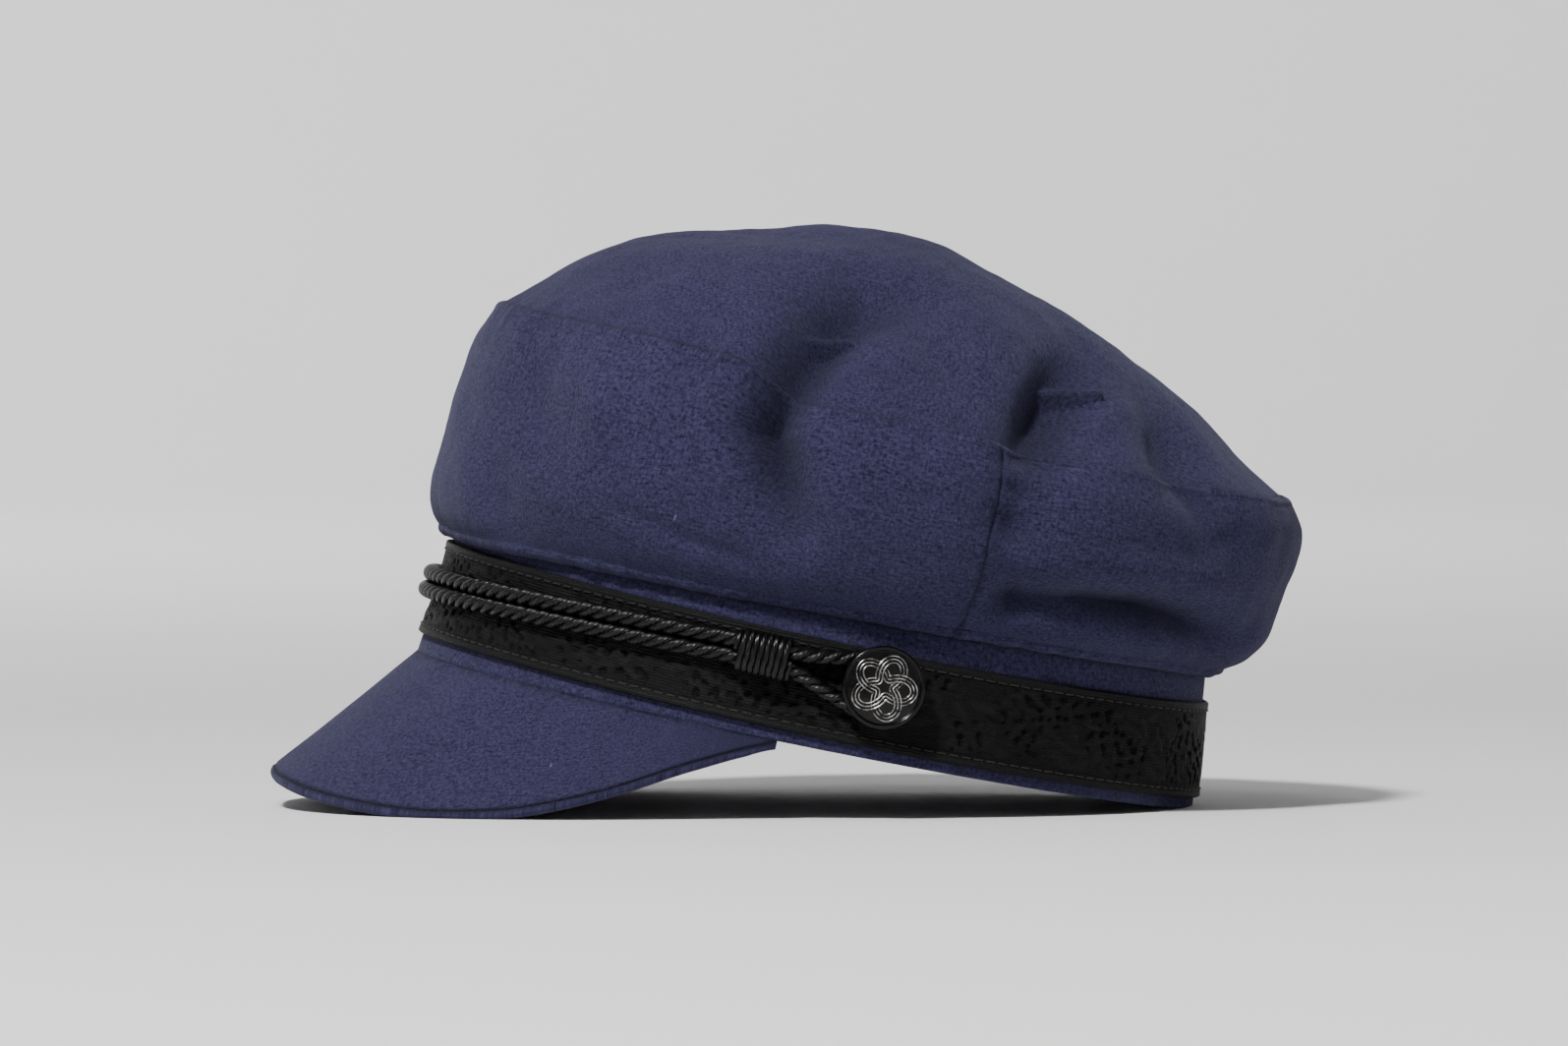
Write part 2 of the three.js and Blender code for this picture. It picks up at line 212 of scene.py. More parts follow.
def gridMesh(name, points, uv, ringRows=False, ringColumns=False, capRows=False, inwards=False, **attributes):
    # points is rows x columns x 3. A ring joins its last row or column to its first, and capped rows get
    # a flat end at the first and last row. uv has one more row or column than a ring has.
    rows, columns = points.shape[:2]
    row = np.arange(rows if ringRows else rows - 1)[:, None]
    column = np.arange(columns if ringColumns else columns - 1)[None, :]
    corners = [(row, column), (row, column + 1), (row + 1, column + 1), (row + 1, column)]
    if inwards:
        corners = corners[::-1]
    faces = np.stack([(r % rows) * columns + c % columns for r, c in corners], -1).reshape(-1, 4)
    uvColumns = uv.shape[1]
    uvFaces = np.stack([r * uvColumns + c + 0 * (row + column) for r, c in corners], -1).reshape(-1)
    faceList = faces.tolist()
    loopUv = uv.reshape(-1, 2)[uvFaces]
    if capRows:
        first, last = list(range(columns)), list(range((rows - 1) * columns, rows * columns))
        ends = [first, last[::-1]] if inwards else [first[::-1], last]
        faceList += ends
        capUv = [uv[0, :columns] if end[0] < columns else uv[-1, :columns] for end in ends]
        loopUv = np.concatenate([loopUv] + capUv)
    spread = {label: np.broadcast_to(values, (rows, columns)) for label, values in attributes.items()}
    return newPiece(name, points, faceList, loopUv, **spread)


def finishPiece(piece, node, material):
    # Puts a piece on the model: gives it its material, hangs it on the root body and hides the imported node
    # that it stands for.
    piece.data.materials.append(material)
    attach(piece, "root")
    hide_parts(node)
    return piece


def uvGrid(along, across):
    # Flat cloth coordinates in metres: (length along, length across) at every point of a grid.
    return np.stack(np.broadcast_arrays(along[:, None], across[None, :]), -1) * mm


def tubes(paths, radius, outwards, sides):
    # Round tubes along many paths at once: paths is count x steps x 3, and outwards is a direction that
    # keeps each ring upright. Gives count x steps x sides x 3.
    along = unit(np.gradient(paths, axis=1))
    across = unit(np.cross(along, outwards))
    up = np.cross(across, along)
    around = np.arange(sides) / sides * turn
    radius = np.broadcast_to(radius, paths.shape[:2])[..., None, None]
    ring = np.cos(around)[:, None] * up[:, :, None, :] + np.sin(around)[:, None] * across[:, :, None, :]
    return paths[:, :, None, :] + radius * ring


def joinedTubes(name, rings, closed, uvLength):
    # One mesh of many tubes, from the array that tubes() gives, each closed on itself or capped.
    count, steps, sides = rings.shape[:3]
    step = np.arange(steps if closed else steps - 1)[None, :, None]
    side = np.arange(sides)[None, None, :]
    tube = np.arange(count)[:, None, None] * steps * sides
    corners = [(step, side), (step, side + 1), (step + 1, side + 1), (step + 1, side)]
    faces = np.stack([tube + (s % steps) * sides + c % sides for s, c in corners], -1).reshape(-1, 4)
    length, everyTube = uvLength / steps, 0.0 * tube
    uv = [np.broadcast_arrays(s * length * mm + everyTube, c / sides + everyTube) for s, c in corners]
    uv = np.stack([np.stack(pair, -1) for pair in uv], -2)
    uv = np.broadcast_to(uv, (count, step.shape[1], sides, 4, 2)).reshape(-1, 2)
    faceList = faces.tolist()
    if not closed:
        for number in range(count):
            start = number * steps * sides
            first = list(range(start, start + sides))
            last = list(range(start + (steps - 1) * sides, start + steps * sides))
            faceList += [first[::-1], last]
        uv = np.concatenate([uv, np.zeros((count * 2 * sides, 2))])
    return newPiece(name, rings, faceList, uv)


# Materials: a small kit for joining nodes, then the shared groups, then one function for each finish.
def feed(tree, value, socket):
    # Links a socket, or sets a plain value.
    if isinstance(value, bpy.types.NodeSocket):
        tree.links.new(value, socket)
    else:
        socket.default_value = value


def math2(tree, operation, a, b=0.0, clamp=False):
    node = tree.nodes.new("ShaderNodeMath")
    node.operation = operation
    node.use_clamp = clamp
    feed(tree, a, node.inputs[0])
    feed(tree, b, node.inputs[1])
    return node.outputs[0]


def times(tree, a, b):
    return math2(tree, "MULTIPLY", a, b)


def plus(tree, a, b, clamp=False):
    return math2(tree, "ADD", a, b, clamp)


def minus(tree, a, b):
    return math2(tree, "SUBTRACT", a, b)


def aboutHalf(tree, value):
    # A wave between -1 and 1, brought to between 0 and 1.
    return plus(tree, times(tree, value, 0.5), 0.5)


def offMean(tree, value, mean, weight):
    # How far a pattern lies from its mean, weighted.
    return times(tree, minus(tree, value, mean), weight)


def stretch(tree, value, low, high, toLow=0.0, toHigh=1.0):
    node = tree.nodes.new("ShaderNodeMapRange")
    items = {"Value": value, "From Min": low, "From Max": high, "To Min": toLow, "To Max": toHigh}
    for socket, item in items.items():
        feed(tree, item, node.inputs[socket])
    return node.outputs["Result"]


def scaled(tree, vector, x, y, z=1.0, shiftX=0.0, shiftY=0.0):
    node = tree.nodes.new("ShaderNodeMapping")
    tree.links.new(vector, node.inputs["Vector"])
    node.inputs["Scale"].default_value = (x, y, z)
    node.inputs["Location"].default_value = (shiftX, shiftY, 0)
    return node.outputs["Vector"]


def noise(tree, vector, scale, detail=2.0, roughness=0.5):
    node = tree.nodes.new("ShaderNodeTexNoise")
    tree.links.new(vector, node.inputs["Vector"])
    node.inputs["Scale"].default_value = scale
    node.inputs["Detail"].default_value = detail
    node.inputs["Roughness"].default_value = roughness
    return node.outputs["Fac"]


def mixColour(tree, share, a, b):
    node = tree.nodes.new("ShaderNodeMix")
    node.data_type = "RGBA"
    feed(tree, share, node.inputs["Factor"])
    feed(tree, a, node.inputs[6])
    feed(tree, b, node.inputs[7])
    return node.outputs[2]


def newGroup(name, inputs, outputs):
    group = bpy.data.node_groups.new(name, "ShaderNodeTree")
    for label, kind, value in inputs:
        socket = group.interface.new_socket(label, in_out="INPUT", socket_type=kind)
        if value is not None:
            socket.default_value = value
    for label, kind in outputs:
        group.interface.new_socket(label, in_out="OUTPUT", socket_type=kind)
    return group, group.nodes.new("NodeGroupInput"), group.nodes.new("NodeGroupOutput")


weaveLook = dict(drift=5.0, thread=0.3, rough=0.9, slub=1.15, grain=1.5, cloud=0.45, broad=0.25)


def threadCount(tree, along, threads, wander):
    # Threads counted along one way of the cloth, drifting a little.
    drift = times(tree, wander, weaveLook["drift"])
    return plus(tree, times(tree, along, threads), drift)


def makeWeaveGroup():
    # Plain weave from cloth coordinates in metres: round threads that cross over and under, with slubs as
    # noise drawn out along each thread, cloudy mottling, and rare pale specks of lint.
    group, given, result = newGroup(
        "plainWeave",
        [("Cloth", "NodeSocketVector", None), ("Threads", "NodeSocketFloat", 1800.0)],
        [("Height", "NodeSocketFloat"), ("Shade", "NodeSocketFloat"), ("Lint", "NodeSocketFloat")],
    )
    cloth, threads = given.outputs["Cloth"], given.outputs["Threads"]
    wander = noise(group, cloth, 55.0, 3.0)
    wander2 = noise(group, scaled(group, cloth, 1, 1, 1, 3.1, 1.7), 60.0, 3.0)
    split = group.nodes.new("ShaderNodeSeparateXYZ")
    group.links.new(cloth, split.inputs[0])
    warp = threadCount(group, split.outputs[0], threads, wander)
    weft = threadCount(group, split.outputs[1], threads, wander2)
    sineWarp = math2(group, "SINE", times(group, warp, math.pi))
    sineWeft = math2(group, "SINE", times(group, weft, math.pi))
    crossing = times(group, sineWarp, sineWeft)
    roundWarp = math2(group, "ABSOLUTE", sineWarp)
    roundWeft = math2(group, "ABSOLUTE", sineWeft)
    above = aboutHalf(group, crossing)
    over = times(group, roundWarp, above)
    under = times(group, roundWeft, minus(group, 1.0, above))
    slubWarp = noise(group, scaled(group, cloth, 1500, 560), 1.0, 2.0, 0.6)
    slubWeft = noise(group, scaled(group, cloth, 480, 1500, 1, 7, 3), 1.0, 2.0, 0.6)
    slub = plus(group, slubWarp, slubWeft)
    grain = noise(group, cloth, 1150.0, 2.0, 0.7)
    cloudy = noise(group, cloth, 210.0, 4.0, 0.65)
    broad = noise(group, cloth, 24.0, 2.0)
    threadHeight = times(group, plus(group, over, under), weaveLook["thread"])
    roughHeight = times(group, plus(group, slub, grain), weaveLook["rough"])
    group.links.new(plus(group, threadHeight, roughHeight), result.inputs["Height"])
    fine = offMean(group, slub, 1.0, weaveLook["slub"])
    grains = offMean(group, grain, 0.5, weaveLook["grain"])
    clouds = offMean(group, cloudy, 0.5, weaveLook["cloud"])
    wide = offMean(group, broad, 0.5, weaveLook["broad"])
    shade = plus(group, plus(group, fine, grains), plus(group, wide, clouds))
    group.links.new(plus(group, shade, 0.5, clamp=True), result.inputs["Shade"])
    specks = noise(group, scaled(group, cloth, 420, 150, 1, 11, 5), 1.0, 1.0)
    group.links.new(stretch(group, specks, 0.8, 0.86), result.inputs["Lint"])
    return group


def makeYarnGroup():
    # Fine yarns that run round a cord at a slant: ridges of a sine wave on the tube's own coordinates.
    group, given, result = newGroup(
        "twistedYarn",
        [
            ("Tube", "NodeSocketVector", None),
            ("Yarns", "NodeSocketFloat", 9.0),
            ("Slant", "NodeSocketFloat", 500.0),
        ],
        [("Height", "NodeSocketFloat"), ("Shade", "NodeSocketFloat")],
    )
    split = group.nodes.new("ShaderNodeSeparateXYZ")
    group.links.new(given.outputs["Tube"], split.inputs[0])
    along = times(group, split.outputs[0], given.outputs["Slant"])
    around = times(group, split.outputs[1], given.outputs["Yarns"])
    phase = times(group, plus(group, along, around), turn)
    ridge = aboutHalf(group, math2(group, "SINE", phase))
    fuzz = noise(group, scaled(group, given.outputs["Tube"], 900, 6), 1.0, 3.0)
    group.links.new(plus(group, ridge, times(group, fuzz, 0.5)), result.inputs["Height"])
    # The shade is the ridge, painted shade between the yarns and painted light on their tops, plus random
    # fuzz.
    group.links.new(plus(group, times(group, ridge, 0.5), fuzz), result.inputs["Shade"])
    return group


def newMaterial(name):
    material = bpy.data.materials.new(name)
    material.use_nodes = True
    tree = material.node_tree
    shader = next(node for node in tree.nodes if node.type == "BSDF_PRINCIPLED")
    return material, tree, shader


def uvSource(tree):
    node = tree.nodes.new("ShaderNodeUVMap")
    node.uv_map = "clothUv"
    return node.outputs["UV"]


def useGroup(tree, group, **values):
    node = tree.nodes.new("ShaderNodeGroup")
    node.node_tree = group
    for name, value in values.items():
        feed(tree, value, node.inputs[name])
    return node.outputs


def bumpInto(tree, shader, height, strength, distance):
    bump = tree.nodes.new("ShaderNodeBump")
    bump.inputs["Strength"].default_value = strength
    bump.inputs["Distance"].default_value = distance
    tree.links.new(height, bump.inputs["Height"])
    tree.links.new(bump.outputs["Normal"], shader.inputs["Normal"])


clothLook = dict(
    dark=(0.0050, 0.0047, 0.0185, 1), light=(0.0375, 0.0345, 0.087, 1), lint=(0.16, 0.17, 0.24, 1),
    # The dark colour on the next line is painted shade, mixed in along the seams and in the folds.
    seam=(0.0015, 0.0015, 0.004, 1), threads=1750.0,
)
ribbonLook = dict(dark=(0.0002, 0.0002, 0.0003, 1), light=(0.0115, 0.0115, 0.0122, 1))
cordLook = dict(dark=(0.0004, 0.0004, 0.0005, 1), light=(0.0025, 0.0025, 0.0027, 1))
threadLook = dict(dark=(0.004, 0.004, 0.0045, 1), light=(0.022, 0.021, 0.02, 1))
buttonLook = dict(dark=(0.0008, 0.0008, 0.0009, 1), light=(0.0025, 0.0024, 0.0024, 1))
knotLook = dict(dark=(0.035, 0.034, 0.033, 1), light=(0.62, 0.61, 0.59, 1))

weaveGroup = makeWeaveGroup()
yarnGroup = makeYarnGroup()


def makeClothMaterial():
    material, tree, shader = newMaterial("navyCloth")
    weave = useGroup(tree, weaveGroup, Cloth=uvSource(tree), Threads=clothLook["threads"])
    colour = mixColour(tree, weave["Shade"], clothLook["dark"], clothLook["light"])
    colour = mixColour(tree, weave["Lint"], colour, clothLook["lint"])
    # Painted shade: the attribute read here darkens the cloth along its seams and in its folds.
    seam = tree.nodes.new("ShaderNodeAttribute")
    seam.attribute_name = "seam"
    feed(tree, mixColour(tree, seam.outputs["Fac"], colour, clothLook["seam"]), shader.inputs["Base Color"])
    feed(tree, stretch(tree, weave["Shade"], 0, 1, 0.95, 0.8), shader.inputs["Roughness"])
    shader.inputs["Specular IOR Level"].default_value = 0.15
    shader.inputs["Sheen Weight"].default_value = 0.07
    shader.inputs["Sheen Roughness"].default_value = 0.55
    shader.inputs["Sheen Tint"].default_value = (0.5, 0.52, 0.75, 1)
    bumpInto(tree, shader, weave["Height"], 0.75, 0.00035)
    return material


def makeRibbonMaterial():
    # Fine ribs along the ribbon, and the woven relief read from the mesh.
    material, tree, shader = newMaterial("blackRibbon")
    coordinates = uvSource(tree)
    relief = tree.nodes.new("ShaderNodeAttribute")
    relief.attribute_name = "relief"
    split = tree.nodes.new("ShaderNodeSeparateXYZ")
    tree.links.new(coordinates, split.inputs[0])
    ribs = math2(tree, "SINE", times(tree, split.outputs[1], turn / 0.00075))
    ribs = aboutHalf(tree, ribs)
    threads = noise(tree, scaled(tree, coordinates, 350, 2600), 1.0, 3.0, 0.6)
    pile = noise(tree, scaled(tree, coordinates, 1500, 1500, 1, 3, 9), 1.0, 3.0, 0.7)
    # Painted shade and light from the relief: darker in the pits and on the low ground, lighter on the raised
    # pattern and the selvedges.
    raised = stretch(tree, relief.outputs["Fac"], -0.3, 0.9, -0.1, 0.6)
    shade = plus(tree, raised, times(tree, threads, 0.6))
    shade = plus(tree, shade, offMean(tree, pile, 0.5, 1.1), clamp=True)
    feed(tree, mixColour(tree, shade, ribbonLook["dark"], ribbonLook["light"]), shader.inputs["Base Color"])
    feed(tree, stretch(tree, shade, 0, 1, 0.75, 0.42), shader.inputs["Roughness"])
    shader.inputs["Specular IOR Level"].default_value = 0.09
    height = plus(tree, times(tree, ribs, 0.5), plus(tree, threads, pile))
    bumpInto(tree, shader, height, 0.8, 0.0003)
    return material


def makeYarnMaterial(name, look, yarns, slant, roughness, sheen):
    material, tree, shader = newMaterial(name)
    yarn = useGroup(tree, yarnGroup, Tube=uvSource(tree), Yarns=yarns, Slant=slant)
    # Painted shade: the colour is darker between the yarns and lighter on their ridges, with random fuzz.
    shade = stretch(tree, yarn["Shade"], 0.35, 1.1)
    feed(tree, mixColour(tree, shade, look["dark"], look["light"]), shader.inputs["Base Color"])
    rough = stretch(tree, yarn["Shade"], 0.3, 1.1, roughness + 0.12, roughness - 0.06)
    feed(tree, rough, shader.inputs["Roughness"])
    shader.inputs["Specular IOR Level"].default_value = 0.3
    shader.inputs["Sheen Weight"].default_value = sheen
    bumpInto(tree, shader, yarn["Height"], 0.6, 0.00015)
    return material


def makeGlossMaterial():
    material, tree, shader = newMaterial("blackGloss")
    source = tree.nodes.new("ShaderNodeTexCoord").outputs["Object"]
    scuffs = noise(tree, source, 900.0, 5.0, 0.7)
    cloud = noise(tree, source, 140.0, 3.0)
    feed(tree, mixColour(tree, cloud, buttonLook["dark"], buttonLook["light"]), shader.inputs["Base Color"])
    rough = stretch(tree, times(tree, scuffs, cloud), 0.1, 0.5, 0.12, 0.3)
    feed(tree, rough, shader.inputs["Roughness"])
    shader.inputs["Specular IOR Level"].default_value = 0.22
    shader.inputs["Coat Weight"].default_value = 0.05
    shader.inputs["Coat Roughness"].default_value = 0.08
    bumpInto(tree, shader, scuffs, 0.08, 0.0001)
    return material


def makeSilverMaterial():
    material, tree, shader = newMaterial("silverKnot")
    source = tree.nodes.new("ShaderNodeTexCoord").outputs["Object"]
    tarnish = noise(tree, source, 700.0, 4.0, 0.65)
    shade = stretch(tree, tarnish, 0.4, 0.62)
    feed(tree, mixColour(tree, shade, knotLook["dark"], knotLook["light"]), shader.inputs["Base Color"])
    feed(tree, stretch(tree, tarnish, 0.3, 0.7, 0.38, 0.16), shader.inputs["Roughness"])
    shader.inputs["Metallic"].default_value = 0.95
    bumpInto(tree, shader, tarnish, 0.15, 0.0001)
    return material


clothMaterial = makeClothMaterial()
ribbonMaterial = makeRibbonMaterial()
cordMaterial = makeYarnMaterial("blackCord", cordLook, 7.0, 420.0, 0.36, 0.0)
whippingMaterial = makeYarnMaterial("blackWhipping", cordLook, 5.0, 300.0, 0.32, 0.0)
stitchMaterial = makeYarnMaterial("greyStitch", threadLook, 3.0, 900.0, 0.6, 0.05)
glossMaterial = makeGlossMaterial()
silverMaterial = makeSilverMaterial()
print("materials made")


# The crown: three panels, each a loft between a front, a side and a back outline.
crown = dict(
    crest=130.9, wall=1.3, sideSeam=21 * turn / 70,
    hollowRoom=0.6, hollowEase=0.4,  # kept between the wall and the head hollow
    baseGroove=2.2, baseRoll=1.4, rollHeight=3.4, rollSpread=2.4,  # over the band
    clothAround=100.0, clothRise=72.0, clothAcross=112.0,  # a radian of side panel, its height, half the top
    topRows=110, topColumns=400, sideRows=96, sideColumns=590,
)
unevenness = [(0.5, 42.0, 3), (0.26, 17.0, 4), (0.07, 6.5, 5)]  # height, size and seed
sewing = dict(groove=0.9, width=0.6, shoulder=0.2, shoulderAt=1.5, pucker=0.34, puckerSize=9.0, reach=5.0)
heart = np.array([0.0, 5.0, 60.0])  # folds press towards this point
# The boxes of the open head hollow, in metres, which no fold may enter.
headHollow = np.array([
    [[-0.053, -0.058, 0.0005], [0.053, 0.0795, 0.1065]],
    [[-0.0725, -0.0225, 0.0005], [0.0645, 0.0165, 0.1195]],
    [[-0.0165, -0.0805, 0.004], [0.0165, 0.1015, 0.103]],
])
sideRises = [0, 0.05, 0.12, 0.23, 0.36, 0.51, 0.68, 0.84, 1]
topRises = [0, 0.17, 0.38, 0.57, 0.72, 0.84, 0.94, 0.985, 1]
sidePanel = dict(
    front=[99.6, 103.6, 105.9, 106.9, 106.5, 105.6, 104.6, 102.4, 98.8],
    side=[81.3, 85.6, 89.2, 92.6, 95, 96.6, 96.9, 95.6, 92.6],
    back=[99.5, 103.8, 108.4, 112.2, 113.1, 113.9, 115.4, 115, 110.5],
    rises=sideRises,
    bottom=crownSeam,
    top=topSeam,
)
topPanel = dict(
    front=[98.8, 91.7, 83.4, 72.4, 58, 39, 24.5, 11.5, 0],
    side=[92.6, 85.8, 74.8, 61.2, 47.5, 33.3, 18.8, 9, 0],
    back=[110.5, 97.2, 84, 65.6, 49.8, 34.4, 18.5, 9, 0],
    rises=topRises,
    bottom=topSeam,
    top=lambda angle: crown["crest"] + 0 * angle,
)
# Each fold runs along a path of (y, z) on the wearer's left, side 1, or right, side -1.
longValley = [(4, 118), (-9, 112), (-17, 104), (-23, 92), (-26, 77), (-20, 66), (-15, 57)]
folds = [  # side, depth, spread and path
    (1, 11.5, 8.2, longValley),
    (1, 4.5, 7, [(-30, 84), (-27, 75), (-22, 66), (-14, 54)]),
    (1, 11.5, 9.5, [(53, 113), (49, 103), (46, 92), (44, 83), (44, 78)]),
    (1, 4.5, 8, [(43, 70), (41, 58)]),
    (1, 1.8, 9, [(5, 114), (15, 104), (20, 94)]),
    (1, 10, 5.2, [(48, 47), (66, 49.5), (84, 50), (100, 47.5), (116, 43)]),
    (1, 4.5, 6, [(36, 45), (52, 48)]),
    (1, 6.6, 6, [(66, 111), (76, 98), (83, 83), (94, 73)]),
    (1, 2.6, 7, [(-85, 88), (-86, 74), (-80, 60)]),
    (1, 2.2, 7, [(-44, 98), (-47, 86), (-46, 72)]),
    (-1, 6.5, 8, [(14, 114), (8, 100), (10, 84), (18, 70)]),
    (-1, 5, 8, [(-48, 108), (-44, 94), (-48, 80)]),
    (-1, 5, 5, [(50, 47), (72, 51), (98, 48)]),
]
# Small creases that only the fine surface shows.
creases = [
    (1, 2.4, 6, [(-96, 61), (-90, 47), (-86, 40)]),
    (1, 1.5, 2.4, [(-87, 102), (-72, 108), (-55, 113)]),
    (1, 1.4, 2.2, [(-83, 98), (-67, 105), (-56, 110)]),
    (1, -1.7, 4.5, [(-70, 88), (-66, 74), (-68, 60)]),
    (1, -1.8, 4, [(54, 91), (60, 96), (64, 103)]),
    (1, 0.8, 3, [(50, 80), (58, 86), (62, 95)]),
    (1, 0.8, 2.6, [(30, 82), (36, 76), (46, 70), (60, 68)]),
    (1, -2.1, 3.5, [(60, 60), (82, 61), (103, 58)]),
    (1, 1.2, 2.5, [(-60, 50), (-40, 45), (-18, 43)]),
    (1, 0.9, 3.6, [(84, 66), (96, 69), (106, 78)]),
    (-1, 1.8, 4, [(-80, 70), (-70, 58), (-66, 46)]),
    (-1, 1.5, 2.4, [(30, 90), (44, 84), (60, 86)]),
    (-1, -1.8, 4, [(60, 62), (80, 64), (98, 60)]),
]


def distanceToPath(y, z, path):
    # Distance from each point to the nearest of a path's straight stretches, and how far along it that is.
    nearest, along = np.full(y.shape, np.inf), np.zeros(y.shape)
    for number, ((y0, z0), (y1, z1)) in enumerate(zip(path[:-1], path[1:])):
        dy, dz = y1 - y0, z1 - z0
        share = np.clip(((y - y0) * dy + (z - z0) * dz) / (dy * dy + dz * dz), 0, 1)
        distance = np.hypot(y - y0 - share * dy, z - z0 - share * dz)
        along = np.where(distance < nearest, (number + share) / (len(path) - 1), along)
        nearest = np.minimum(nearest, distance)
    return nearest, along


def crownBase(panel, angle, share):
    # x = side radius * sin(angle), y = -end radius * cos(angle), and z rises from one seam to the next.
    cosine, sine = np.cos(angle), np.sin(angle)
    end = np.where(cosine > 0, splineAt(panel["front"], share), splineAt(panel["back"], share))
    middle = splineAt(panel["side"], share)
    height = blend(panel["bottom"](angle), panel["top"](angle), splineAt(panel["rises"], share))
    return np.stack([middle * sine, -end * cosine, height], -1)


def crownSkin(panel, angle, share):
    # The loft pressed towards the heart along every fold and crease, deepest at the middle of each, and made
    # a little uneven. The second result is how far the folds pressed each point.
    points = crownBase(panel, angle, share)
    pressed = np.zeros(points.shape[:-1])
    for side, depth, spread, path in folds + creases:
        facing = smoothStep(side * points[..., 0], 18, 60)
        distance, along = distanceToPath(points[..., 1], points[..., 2], path)
        depth = depth * blend(0.4, 1.15, np.sin(math.pi * along))
        pressed += facing * depth * fade(distance, spread)
    uneven = sum(height * softNoise(points, size, seed) for height, size, seed in unevenness)
    return points + unit(heart - points) * (pressed + uneven)[..., None], pressed


def paintedFoldShade(pressed):
    # Painted shade: the cloth's colour is darkened in the folds, more where they press in deeper.
    return 0.5 * smoothStep(pressed, 0.5, 13.0)


def placeClear(points):
    # Places the skin and eases it outwards where its wall would enter the hollow: the way to the nearest side
    # along a line from the heart, rounded off to nothing outside.
    placed = place(points)
    outwards = unit(placed - place(heart))
    room, ease = (crown["wall"] + crown["hollowRoom"]) * mm, crown["hollowEase"] * mm
    for low, high in headHollow:
        within = np.where(outwards > 0, high + room - placed, placed - low + room)
        reach = (within / np.maximum(np.abs(outwards), 0.05)).min(-1)
        placed = placed + outwards * (ease * np.log1p(np.exp(reach / ease)))[..., None]
    return placed


def closerAtEnds(count):
    # Shares from 0 to 1 whose steps shrink to a fifth at both ends.
    share = np.linspace(0, 1, count)
    return share - 0.8 * np.sin(turn * share) / turn


def seamDip(distance, along, seed):
    # A seam's narrow groove, with small puckers that die away from it.
    pucker = sewing["pucker"] * alongNoise(along, sewing["puckerSize"], seed)
    pucker = pucker * np.exp(-distance / sewing["reach"]) * smoothStep(distance, 0, 2.5)
    groove = sewing["groove"] * fade(distance, sewing["width"])
    return groove - sewing["shoulder"] * fade(distance - sewing["shoulderAt"], 0.8) + pucker


def seamShade(distance):
    # Painted shade: how much the cloth is darkened by its distance from a seam.
    return fade(distance, 0.8)


def makeCrownSide(name, node, fromAngle, toAngle):
    # The skin over (angle, share of the height), with a groove along each seam and a roll over the band.
    columns = int((toAngle - fromAngle) / turn * crown["sideColumns"])
    angles = blend(fromAngle, toAngle, closerAtEnds(columns))
    shares = closerAtEnds(crown["sideRows"])
    angle, share = angles[:, None], shares[None, :]
    points, pressed = crownSkin(sidePanel, angle + 0 * share, share + 0 * angle)
    around = angles * crown["clothAround"]
    rise = shares * crown["clothRise"]
    toTop = (1 - shares) * crown["clothRise"]
    toSide = np.minimum(angles - fromAngle, toAngle - angles) * crown["clothAround"]
    dip = seamDip(toTop[None, :], around[:, None], 21) + seamDip(toSide[:, None], rise[None, :], 22)
    dip = dip + seamDip(rise[None, :], around[:, None], 24) * crown["baseGroove"]
    dip = dip - crown["baseRoll"] * fade(rise[None, :] - crown["rollHeight"], crown["rollSpread"])
    points = points + unit(heart - points) * dip[..., None]
    # Painted shade along the seams, widest over the band where the crown overhangs, and in the folds.
    seam = np.maximum(seamShade(np.minimum(toTop, rise * 0.5))[None, :], seamShade(toSide)[:, None])
    seam = np.maximum(seam, paintedFoldShade(pressed))
    piece = gridMesh(name, placeClear(points), uvGrid(around, rise), seam=seam)
    thicken(piece)
    return finishPiece(piece, node, clothMaterial)


def thicken(piece):
    wall = piece.modifiers.new("wall", "SOLIDIFY")
    wall.thickness = crown["wall"] * mm
    wall.offset = -1


def makeCrownTop():
    # The skin over (share of the way from the seam to the crest, angle), with a groove along the seam.
    shares = 0.997 * np.linspace(0, 1, crown["topRows"]) ** 1.35
    angles = np.arange(crown["topColumns"]) / crown["topColumns"] * turn
    share, angle = shares[:, None], angles[None, :]
    points, pressed = crownSkin(topPanel, angle + 0 * share, share + 0 * angle)
    toSeam = shares * crown["clothAcross"]
    dip = seamDip(toSeam[:, None], angles[None, :] * crown["clothAround"], 23)
    points = points + unit(heart - points) * dip[..., None]
    out = (crown["clothAcross"] - toSeam)[:, None]
    closing = np.append(angles, turn)[None, :]
    uv = np.stack([out * np.sin(closing), -out * np.cos(closing)], -1) * mm
    # Painted shade along the seam and in the folds.
    seam = np.maximum(seamShade(toSeam)[:, None], paintedFoldShade(pressed))
    piece = gridMesh("crownTop", placeClear(points), uv, ringColumns=True, seam=seam)
    closePole(piece, len(shares) - 1, crown["topColumns"])
    thicken(piece)
    return finishPiece(piece, "crown_top", clothMaterial)


def closePole(piece, row, columns):
    # Fills the small hole inside a ring of points with a flat face.
    made = bmesh.new()
    made.from_mesh(piece.data)
    made.verts.ensure_lookup_table()
    made.faces.new([made.verts[row * columns + i] for i in range(columns)])
    made.to_mesh(piece.data)
    made.free()
    piece.data.shade_smooth()


makeCrownTop()
makeCrownSide("crownSideFront", "crown_side_front", -crown["sideSeam"], crown["sideSeam"])
makeCrownSide("crownSideBack", "crown_side_back", crown["sideSeam"], turn - crown["sideSeam"])
print("crown made")


